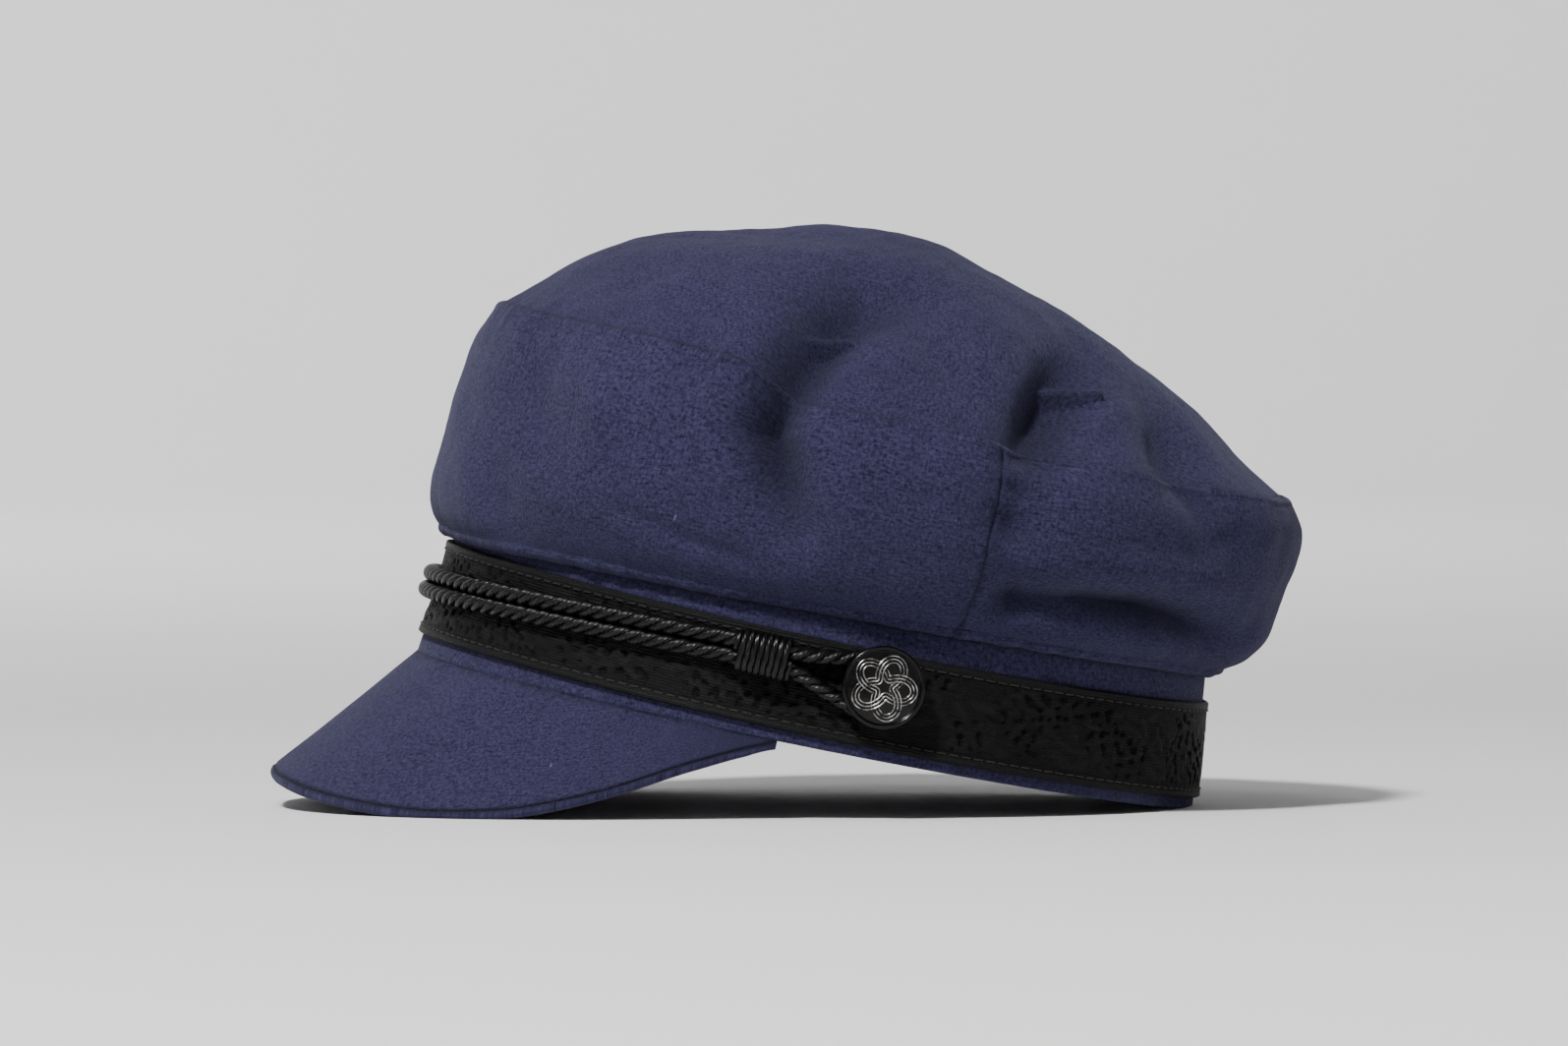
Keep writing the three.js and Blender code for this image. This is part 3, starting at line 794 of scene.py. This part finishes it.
def sectionRing(outerRise, innerRise, corner):
    # The closed outline of a flat band's section, from its lower outer edge up, over and down inside: the
    # share of its height, the share of its depth, and how far its half-round ends bulge.
    up = np.linspace(0, 1, outerRise)
    arc = np.linspace(0, math.pi, corner + 2)[1:-1]
    down = np.linspace(1, 0, innerRise)
    height = np.concatenate([up, 1 + 0 * arc, down, 0 * arc])
    depth = np.concatenate([0 * up, (1 - np.cos(arc)) / 2, 1 + 0 * down, (1 + np.cos(arc)) / 2])
    bulge = np.concatenate([0 * up, np.sin(arc), 0 * down, -np.sin(arc)])
    return height, depth, bulge


def makeBandRing(name, node, material, low, high, outside, wall, rows, columns, ends, relief=None):
    # A band round the head: low and high are functions of the angle, and relief one of length and height.
    height, depth, bulge = sectionRing(rows, 6, 4)
    angles = np.arange(columns) / columns * turn
    angle = angles[:, None]
    bottom, top = low(angle), high(angle)
    rise = blend(bottom, top, height[None, :]) + bulge[None, :] * wall * ends
    around = arcLength(angles)
    raised = np.zeros(rise.shape)
    if relief is not None:
        raised = relief(around[:, None], rise - (bottom + top) / 2) * (depth[None, :] == 0)
    points = bandPoint(angle, rise, outside - wall * depth[None, :] + raised)
    closing = np.append(around, around[-1] + around[1])
    running = np.concatenate([height * (high(0.0) - low(0.0)), [0]])
    uv = uvGrid(closing, running)
    # Painted shade along the band's top edge, at the seam under the crown; the ribbon's material doesn't read
    # it.
    seam = seamShade((top - rise) * 0.5)
    relief = raised / ribbon["relief"]
    piece = gridMesh(name, place(points), uv, ringRows=True, ringColumns=True, relief=relief, seam=seam)
    return finishPiece(piece, node, material)


fineAngles = np.linspace(0, turn, 4001)
bandLeanMiddle = 2  # how far the band leans in at about half its height


def arcLength(angles):
    # Length round the band's outside from the front to each angle, in millimetres.
    x = (band["halfWidth"] - bandLeanMiddle) * np.cos(fineAngles)
    y = (band["halfLength"] - bandLeanMiddle) * np.sin(fineAngles)
    speed = np.hypot(x, y)
    steps = (speed[1:] + speed[:-1]) / 2 * (fineAngles[1] - fineAngles[0])
    return np.interp(angles, fineAngles, np.concatenate([[0], np.cumsum(steps)]))


makeBandRing(
    "headBand", "head_band", clothMaterial,
    low=lambda angle: bandFoot(angle) + 0.3, high=lambda angle: crownSeam(angle) - 0.1,
    outside=0, wall=band["wall"], rows=34, columns=560, ends=0.15,
)


def leafShape(along, across, centreAlong, centreAcross, heading, length, width):
    # A pointed oval: full at its middle, nothing at its edge.
    cosine, sine = math.cos(heading), math.sin(heading)
    u = (along - centreAlong) * cosine + (across - centreAcross) * sine
    v = (across - centreAcross) * cosine - (along - centreAlong) * sine
    half = width / 2 * np.clip(1 - (2 * u / length) ** 2, 0, 1)
    return np.clip(1 - np.abs(v) / np.maximum(half, 0.05), 0, 1) * (np.abs(2 * u / length) < 1)


def ribbonRelief(around, across):
    # A scrolling stem, a sine wave along the ribbon, with leaves and berries on both sides of it, between
    # two plain selvedges.
    repeat = ribbon["repeat"]
    along = np.mod(around, repeat)
    stemHeight = ribbon["stem"] * np.sin(turn * around / repeat)
    raised = 0.9 * fade(across - stemHeight, 0.75)
    for shiftAlong in (-repeat, 0, repeat):
        for centre, height, heading, length, width in leaves:
            leaf = leafShape(along, across, centre + shiftAlong, height, heading, length, width)
            raised = np.maximum(raised, leaf**0.5)
        for centre, height, size in berries:
            distance = np.hypot(along - centre - shiftAlong, across - height)
            raised = np.maximum(raised, np.sqrt(np.clip(1 - (distance / size) ** 2, 0, 1)))
    flat = np.stack(np.broadcast_arrays(around * 1.4, across, 0.0), -1)
    clusters = smoothStep(softNoise(flat, 15.0, 9), -0.5, 0.3)
    pits = clusters * smoothStep(softNoise(flat, 2.9, 8), 0.45, 0.8)
    inside = smoothStep(ribbon["field"] - np.abs(across), 0, 0.8)
    selvedge = smoothStep(np.abs(across) - (ribbon["field"] + 0.2), 0, 0.5) * 0.45
    stitchPull = -0.35 * fade(np.abs(across) - (ribbon["width"] / 2 - ribbon["stitchInset"]), 0.5)
    return ribbon["relief"] * (inside * (0.35 * raised - 1.4 * pits) + selvedge + stitchPull)


leaves = [  # middle along and across the ribbon, heading, length and width
    (3.5, 6.6, 0.5, 8.5, 3.8), (9.0, 7.6, -0.4, 7.5, 3.4), (14.5, 4.6, -1.1, 7, 3),
    (6.0, -1.0, 0.9, 7, 3), (12.0, -3.0, 0.2, 7.5, 3.2), (19.5, -6.8, -0.5, 8.5, 3.8),
    (25.0, -7.6, 0.4, 7.5, 3.4), (30.5, -4.6, 1.1, 7, 3), (22.0, 1.0, -0.9, 7, 3),
    (28.0, 3.0, -0.2, 7.5, 3.2), (17.5, 7.2, 0.3, 6, 2.6), (1.5, -7.2, -0.3, 6, 2.6),
]
berries = [  # middle along and across, and size
    (11.5, 1.2, 1.1), (13.6, 0.0, 1.0), (27.5, -1.2, 1.1),
    (29.6, 0.0, 1.0), (20.5, 4.6, 0.9), (4.5, -4.6, 0.9),
]

makeBandRing(
    "ribbonWeave", "ribbon", ribbonMaterial,
    low=lambda angle: ribbonMiddle(angle) - ribbon["width"] / 2 + ribbon["edge"],
    high=lambda angle: ribbonMiddle(angle) + ribbon["width"] / 2 - ribbon["edge"],
    outside=gap + ribbon["wall"], wall=ribbon["wall"], rows=56, columns=1180, ends=0.4, relief=ribbonRelief,
)


def makeRibbonStitches():
    # Two rows of short stitches, each a small tube that dips in at both ends.
    total = arcLength(np.array([turn]))[0]
    count = int(total / ribbon["stitchStep"])
    paths, outwards = [], []
    for sign in (-1, 1):
        centre = np.arange(count) * total / count
        run = np.linspace(-0.34, 0.34, 7) * ribbon["stitchStep"]
        along = np.mod(centre[:, None] + run[None, :], total)
        angle = np.interp(along, arcLength(fineAngles), fineAngles)
        slant = 0.12 * alongNoise(centre, 5.0, 31 + sign)[:, None] * run[None, :] * 0.5
        rise = ribbonMiddle(angle) + sign * (ribbon["width"] / 2 - ribbon["stitchInset"]) + slant
        lift = gap + ribbon["wall"] + 0.02 + 0.2 * np.sqrt(np.clip(1 - (run / run[-1]) ** 2, 0, 1))[None, :]
        paths.append(bandPoint(angle, rise, lift))
        outwards.append(bandNormal(angle))
    rings = tubes(np.concatenate(paths), 0.2, np.concatenate(outwards), 6)
    piece = joinedTubes("ribbonStitches", place(rings), False, ribbon["stitchStep"])
    piece.data.materials.append(stitchMaterial)
    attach(piece, "root")


makeRibbonStitches()
print("band and ribbon made")


# The peak: two layers of cloth over a stiffener, seamed round the edge.
peak = dict(
    endAngle=math.radians(86), slope=math.radians(50), sideSteepening=math.radians(20), wall=2.6,
    edgeSeam=0.8, groove=0.35, uneven=0.16, clothAround=118.0, clothDepth=50.0,
)
peakLengths = [48, 49.2, 49, 46.8, 42.4, 34.8, 23.8, 11, 1.5]


def makePeak():
    # Each section runs down the slope outside, round the edge, and back underneath.
    angles = np.linspace(-peak["endAngle"], peak["endAngle"], 300)
    height, depth, bulge = sectionRing(80, 40, 6)
    height = height**1.5  # closer rows by the free edge
    angle = angles[:, None]
    length = splineAt(peakLengths, np.abs(angle) / peak["endAngle"])
    slope = peak["slope"] + peak["sideSteepening"] * np.sin(angle) ** 2
    thick = np.minimum(peak["wall"], 0.5 + length * 0.5)
    along = length * (1 - height[None, :])
    beyond = np.where(height[None, :] < 0.5, -bulge[None, :] * thick / 2, 0)
    under = depth[None, :] * thick
    fromEdge = length * height[None, :]
    outer = depth[None, :] == 0
    groove = np.minimum(peak["groove"] * fade(fromEdge - peak["edgeSeam"], 0.3), 0.2 * thick)
    groove = (groove + peak["uneven"] * softNoiseOnPeak(angle, along)) * outer
    # Painted shade along the edge seam and where the peak meets the band.
    seam = np.maximum(seamShade(fromEdge - peak["edgeSeam"]), seamShade(along * 0.8)) * outer * 0.8
    along = along + np.minimum(beyond, 1.2)
    under = under + groove
    tuck = smoothStep(1.6 - along, 0, 1.6)  # into the seam under the band
    outwards = along * np.cos(slope) - under * np.sin(slope) - 0.9 * tuck
    down = along * np.sin(slope) + under * np.cos(slope) - 1.3 * tuck
    foot = bandFoot(angle)
    points = bandPoint(angle + 0 * along, foot + 0 * along, outwards)
    points[..., 2] -= down
    clothDown = np.append((1 - height) * peak["clothDepth"], peak["clothDepth"])
    uv = uvGrid(angles * peak["clothAround"], clothDown)
    piece = gridMesh("peakCloth", place(points), uv, ringColumns=True, capRows=True, inwards=True, seam=seam)
    return finishPiece(piece, "peak", clothMaterial)


def softNoiseOnPeak(angle, along):
    flat = np.stack(np.broadcast_arrays(angle * peak["clothAround"], along, 0 * angle), -1)
    return softNoise(flat, 22.0, 12)


makePeak()
print("peak made")


# The cord, the whippings and the buttons.
cord = dict(radius=2.0, frontHeight=18.6, whippingHeight=20.1, strands=3, pitch=12.4)
whipping = dict(wall=1.3, length=15.5, distance=30.0, turns=9, thread=0.88)
button = dict(
    radius=10.6, thickness=3.4, shank=2.4, angle=math.radians(98.8), height=17.4,
    rim=0.62, rimDrop=1.35, faceInset=1.5, faceDrop=1.25, dome=1.0, centre=0.02, sides=96,
)
knot = dict(middle=5.05, swing=2.75, loops=2.5, spacing=0.86, wire=0.19, lift=0.06, weave=0.24)
loopRadius = 7.5
ribbonFace = gap + ribbon["wall"]
cordOffset = ribbonFace + gap + cord["radius"]
whippingOffset = cordOffset + whipping["wall"] + gap
anglePerMm = 1 / 102.0
whippingAngle = button["angle"] - whipping["distance"] * anglePerMm
cordRise = cord["radius"] + gap / 2
buttonBack = 3 * gap + 2 * cord["radius"]  # its underside, off the ribbon


def cordMiddle(angle):
    away = np.abs(angle)
    towardsWhipping = blend(cord["frontHeight"], cord["whippingHeight"], smoothStep(away, 0.4, whippingAngle))
    return blend(towardsWhipping, button["height"], smoothStep(away, whippingAngle, button["angle"]))


def cordStops():
    # The route as (angle, rise, offset): half an upper run, its lower twin, and both turned half round.
    clearAngle = whippingAngle - (whipping["length"] / 2 + 5) * anglePerMm
    upper = [(clearAngle * i / 12, cordRise, cordOffset) for i in range(13)]
    for along in (-0.5, 0, 0.5):
        upper.append((whippingAngle + along * whipping["length"] * anglePerMm, cordRise, whippingOffset))
    loop = []
    for degrees in (100, 75, 50, 25, 0):
        swing = math.radians(degrees)
        angle = button["angle"] + loopRadius * math.cos(swing) * anglePerMm
        loop.append((angle, loopRadius * math.sin(swing), cordOffset))
    between = ((upper[-1][0] + loop[0][0]) / 2, (upper[-1][1] + loop[0][1]) / 2, cordOffset)
    upper += [between] + loop
    half = np.array(upper + [(a, -r, o) for a, r, o in upper[:-1][::-1]])
    return np.concatenate([half[:-1], half[:-1] * (-1, -1, 1)])


def closedSpline(stops, count):
    # A centripetal Catmull-Rom curve round a closed list of points, at evenly spaced lengths.
    last = len(stops)
    position = np.linspace(0, last, last * 40, endpoint=False)
    i = position.astype(int)
    w = (position - i)[:, None]
    p0, p1, p2, p3 = [stops[(i + k) % last] for k in (-1, 0, 1, 2)]
    d0, d1, d2 = [np.sqrt(np.linalg.norm(b - a, axis=1))[:, None] for a, b in ((p0, p1), (p1, p2), (p2, p3))]
    start = ((p1 - p0) / d0 - (p2 - p0) / (d0 + d1) + (p2 - p1) / d1) * d1
    finish = ((p2 - p1) / d1 - (p3 - p1) / (d1 + d2) + (p3 - p2) / d2) * d1
    path = (2 * w**3 - 3 * w**2 + 1) * p1 + (w**3 - 2 * w**2 + w) * start
    path = path + (3 * w**2 - 2 * w**3) * p2 + (w**3 - w**2) * finish
    steps = np.linalg.norm(np.roll(path, -1, 0) - path, axis=1)
    lengths = np.concatenate([[0], np.cumsum(steps)])
    even = np.linspace(0, lengths[-1], count, endpoint=False)
    looped = np.vstack([path, path[:1]])
    return np.stack([np.interp(even, lengths, looped[:, k]) for k in range(3)], -1), lengths[-1]


def makeCord():
    # Three strands, each carried on a helix round the cord's route.
    stops = cordStops()
    route = bandPoint(stops[:, 0], cordMiddle(stops[:, 0]) + stops[:, 1], stops[:, 2])
    path, length = closedSpline(route, 1150)
    smoothed = sum(np.roll(path, k, 0) for k in range(-2, 3)) / 5
    along = unit(np.roll(smoothed, -1, 0) - np.roll(smoothed, 1, 0))
    angle = np.arctan2(path[:, 0] / band["halfWidth"], -path[:, 1] / band["halfLength"])
    outwards = bandNormal(angle)
    across = unit(np.cross(along, outwards))
    up = np.cross(across, along)
    turns = round(length / cord["pitch"])
    run = np.arange(len(path)) / len(path) * turns * turn
    strandRadius, helixRadius = cord["radius"] * 0.52, cord["radius"] * 0.55
    paths, facings = [], []
    for number in range(cord["strands"]):
        spin = -run + number * turn / cord["strands"]
        facing = np.cos(spin)[:, None] * up + np.sin(spin)[:, None] * across
        paths.append(smoothed + helixRadius * facing)
        facings.append(facing)
    rings = tubes(np.array(paths), strandRadius, np.array(facings), 10)
    piece = joinedTubes("twistedCord", place(rings), True, length)
    print("cord length, mm:", round(length, 1))
    return finishPiece(piece, "front_cord", cordMaterial)


def makeWhipping(sideName, side):
    # A thread wound as a helix whose section is a squared oval round both runs of the cord.
    count = 44 * whipping["turns"]
    run = np.linspace(0, 1, count)
    swing = run * whipping["turns"] * turn
    ends = smoothStep(np.minimum(run, 1 - run), 0, 0.1)
    thick = cord["radius"] + gap + whipping["thread"] * (0.35 + 0.15 * ends)
    high = cordRise + cord["radius"] + gap + whipping["thread"] * (0.1 + 0.3 * ends)
    swingUp, swingOut = np.sin(swing), np.cos(swing)
    halfAngle = (whipping["length"] / 2 - whipping["thread"]) * anglePerMm
    angle = side * (whippingAngle + blend(-halfAngle, halfAngle, run))
    rise = high * np.sign(swingUp) * np.abs(swingUp) ** 0.75
    out = thick * np.sign(swingOut) * np.abs(swingOut) ** 0.75
    path = bandPoint(angle, cordMiddle(angle) + rise, whippingOffset + out)
    middle = bandPoint(angle, cordMiddle(angle), whippingOffset)
    radius = whipping["thread"] * (0.72 + 0.28 * ends)
    rings = tubes(path[None], radius[None], unit(path - middle)[None], 10)
    piece = joinedTubes("whipping" + sideName, place(rings), False, 250.0)
    return finishPiece(piece, "cord_whipping_" + sideName.lower(), whippingMaterial)


makeCord()
for sideName, side in (("Left", 1), ("Right", -1)):
    makeWhipping(sideName, side)
print("cord made")


def buttonFrame(side):
    # The button's middle on the ribbon and its three directions: across, up and outwards.
    angle = np.array(side * button["angle"])
    middle = bandPoint(angle, button["height"], ribbonFace)
    outwards = bandNormal(angle) + np.array([0, 0, band["lean"] / band["height"]])
    outwards = unit(outwards)
    across = unit(np.cross([0, 0, 1.0], outwards))
    return middle, across, np.cross(outwards, across), outwards


def onButton(side, x, y, z):
    middle, across, up, outwards = buttonFrame(side)
    return middle + x[..., None] * across + y[..., None] * up + z[..., None] * outwards


def buttonFaceHeight(radius):
    # A low dome inside a raised rim.
    share = radius / (button["radius"] - button["faceInset"])
    return buttonBack + (button["thickness"] - button["faceDrop"] + button["dome"] * (1 - share**2))


def makeButton(sideName, side):
    # A profile of radius and height, turned round the button's middle.
    outer, shank, centre = button["radius"], button["shank"], button["centre"]
    swing = np.linspace(0, math.pi, 13)
    rimMiddle = (outer - button["rim"], buttonBack + button["thickness"] - button["rimDrop"])
    rimOut = rimMiddle[0] + button["rim"] * np.cos(swing)
    rim = np.stack([rimOut, rimMiddle[1] + button["rim"] * np.sin(swing)], -1)
    faceRadius = np.linspace(outer - button["faceInset"], centre, 26)
    face = np.stack([faceRadius, buttonFaceHeight(faceRadius)], -1)
    under = np.array([
        [centre, gap], [shank - 0.2, gap], [shank, gap + 0.3], [shank, buttonBack - 0.4],
        [shank + 0.6, buttonBack], [outer - 1.2, buttonBack + 0.1],
        [outer - 0.4, buttonBack + 0.5], [outer, buttonBack + 1.1],
    ])
    profile = np.concatenate([under, rim, face])
    around = np.arange(button["sides"]) / button["sides"] * turn
    radius, height = profile[:, 0][:, None], profile[:, 1][:, None]
    points = onButton(side, radius * np.cos(around), radius * np.sin(around), height + 0 * around)
    uv = np.zeros((len(profile), button["sides"] + 1, 2))
    body = gridMesh("button" + sideName, place(points), uv, ringColumns=True, capRows=True, inwards=True)
    finishPiece(body, "button_" + sideName.lower(), glossMaterial)


def makeKnot(sideName, side):
    # A closed wire that goes twice round in five loops, over and under itself, three side by side: its
    # radius is middle + swing * cos(loops * angle).
    swing = np.linspace(0, 2 * turn, 420, endpoint=False)
    radius = knot["middle"] + knot["swing"] * np.cos(knot["loops"] * swing)
    x, y = radius * np.cos(swing), radius * np.sin(swing)
    flat = np.stack([x, y], -1)
    along = np.roll(flat, -1, 0) - np.roll(flat, 1, 0)
    along /= np.linalg.norm(along, axis=1, keepdims=True)
    paths, facings = [], []
    for offset in (-knot["spacing"], 0, knot["spacing"]):
        px, py = x + offset * along[:, 1], y - offset * along[:, 0]
        rise = buttonFaceHeight(np.hypot(px, py)) + knot["lift"]
        rise = rise + knot["weave"] * np.sin(knot["loops"] * swing)
        paths.append(onButton(side, px, py, rise))
        facings.append(np.broadcast_to(buttonFrame(side)[3], paths[-1].shape))
    rings = tubes(np.array(paths), knot["wire"], np.array(facings), 8)
    piece = joinedTubes("buttonKnot" + sideName, place(rings), True, 70.0)
    piece.data.materials.append(silverMaterial)
    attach(piece, "root")


for sideName, side in (("Left", 1), ("Right", -1)):
    makeButton(sideName, side)
    makeKnot(sideName, side)
print("buttons made")


# The stage: a pale floor that curves up into a wall all round.
stage = dict(flat=3.4, curve=1.6, top=5.5, sink=0.0002, sides=128, colour=(0.80, 0.795, 0.80, 1))
lights = [  # name, place, aim or the cap's middle, size, power and colour
    ("keyLight", (1.74, -0.84, 2.4), None, 0.42, 130, (1, 0.985, 0.97)),
    ("topLight", (0.3, -0.5, 2.3), None, 1.2, 10, (1, 1, 1)),
    ("fillLight", (2.2, 0.9, 0.5), None, 1.2, 1.5, (0.95, 0.97, 1)),
    ("wallLight", (-1.8, -1.0, 2.6), (-5.0, -1.4, 0.9), 2.0, 130, (1, 1, 1)),
]
air = dict(colour=(0.95, 0.96, 1, 1), strength=0.04)
view = dict(sensor=36, lens=300, farthest=50, elevation=math.radians(1.5), distance=3.4, drop=0.002)


def makeStage():
    # A profile that runs flat, then round a quarter circle, then straight up, turned round the middle.
    bend = np.linspace(0, math.pi / 2, 24)
    flat, curve = stage["flat"], stage["curve"]
    out = np.concatenate([[0.001, 0.3, 1.0], flat + curve * np.sin(bend), [flat + curve]])
    rise = np.concatenate([[0, 0, 0], curve * (1 - np.cos(bend)), [stage["top"]]])
    around = np.arange(stage["sides"]) / stage["sides"] * turn
    x, y = out[:, None] * np.cos(around), out[:, None] * np.sin(around)
    points = np.stack([x, y, rise[:, None] + 0 * around], -1)
    points[..., 2] -= stage["sink"]
    uv = np.zeros((len(out), stage["sides"] + 1, 2))
    floor = gridMesh("studioFloor", points, uv, ringColumns=True, inwards=True)
    closePole(floor, 0, stage["sides"])
    material, tree, shader = newMaterial("paleFloor")
    source = tree.nodes.new("ShaderNodeTexCoord").outputs["Object"]
    grain = noise(tree, source, 3.0, 3.0)
    shade = tuple(value * 0.98 for value in stage["colour"][:3]) + (1,)
    feed(tree, mixColour(tree, grain, shade, stage["colour"]), shader.inputs["Base Color"])
    shader.inputs["Roughness"].default_value = 0.9
    shader.inputs["Specular IOR Level"].default_value = 0.1
    floor.data.materials.append(material)


def addLight(name, position, target, size, power, colour):
    light = bpy.data.lights.new(name, "AREA")
    light.shape = "DISK"
    light.size = size
    light.energy = power
    light.color = colour
    lamp = bpy.data.objects.new(name, light)
    lamp.location = position
    lamp.rotation_euler = (Vector(target) - Vector(position)).to_track_quat("-Z", "Y").to_euler()
    bpy.context.scene.collection.objects.link(lamp)


def makeLightsAndCamera():
    low, high = Vector(cadBox[0]), Vector(cadBox[1])
    middle = (low + high) / 2
    for name, position, aim, size, power, colour in lights:
        addLight(name, position, aim or middle, size, power, colour)
    world = bpy.data.worlds.new("studioAir")
    bpy.context.scene.world = world
    world.use_nodes = True
    background = next(node for node in world.node_tree.nodes if node.type == "BACKGROUND")
    background.inputs["Color"].default_value = air["colour"]
    background.inputs["Strength"].default_value = air["strength"]
    camera = bpy.data.cameras.new("camera")
    camera.sensor_width = view["sensor"]
    camera.lens = view["lens"]
    camera.clip_end = view["farthest"]
    viewer = bpy.data.objects.new("camera", camera)
    target = middle - Vector((0, 0, view["drop"]))
    direction = Vector((math.cos(view["elevation"]), 0, math.sin(view["elevation"])))
    viewer.location = target + direction * view["distance"]
    viewer.rotation_euler = (target - viewer.location).to_track_quat("-Z", "Y").to_euler()
    bpy.context.scene.collection.objects.link(viewer)
    bpy.context.scene.camera = viewer


makeStage()
makeLightsAndCamera()
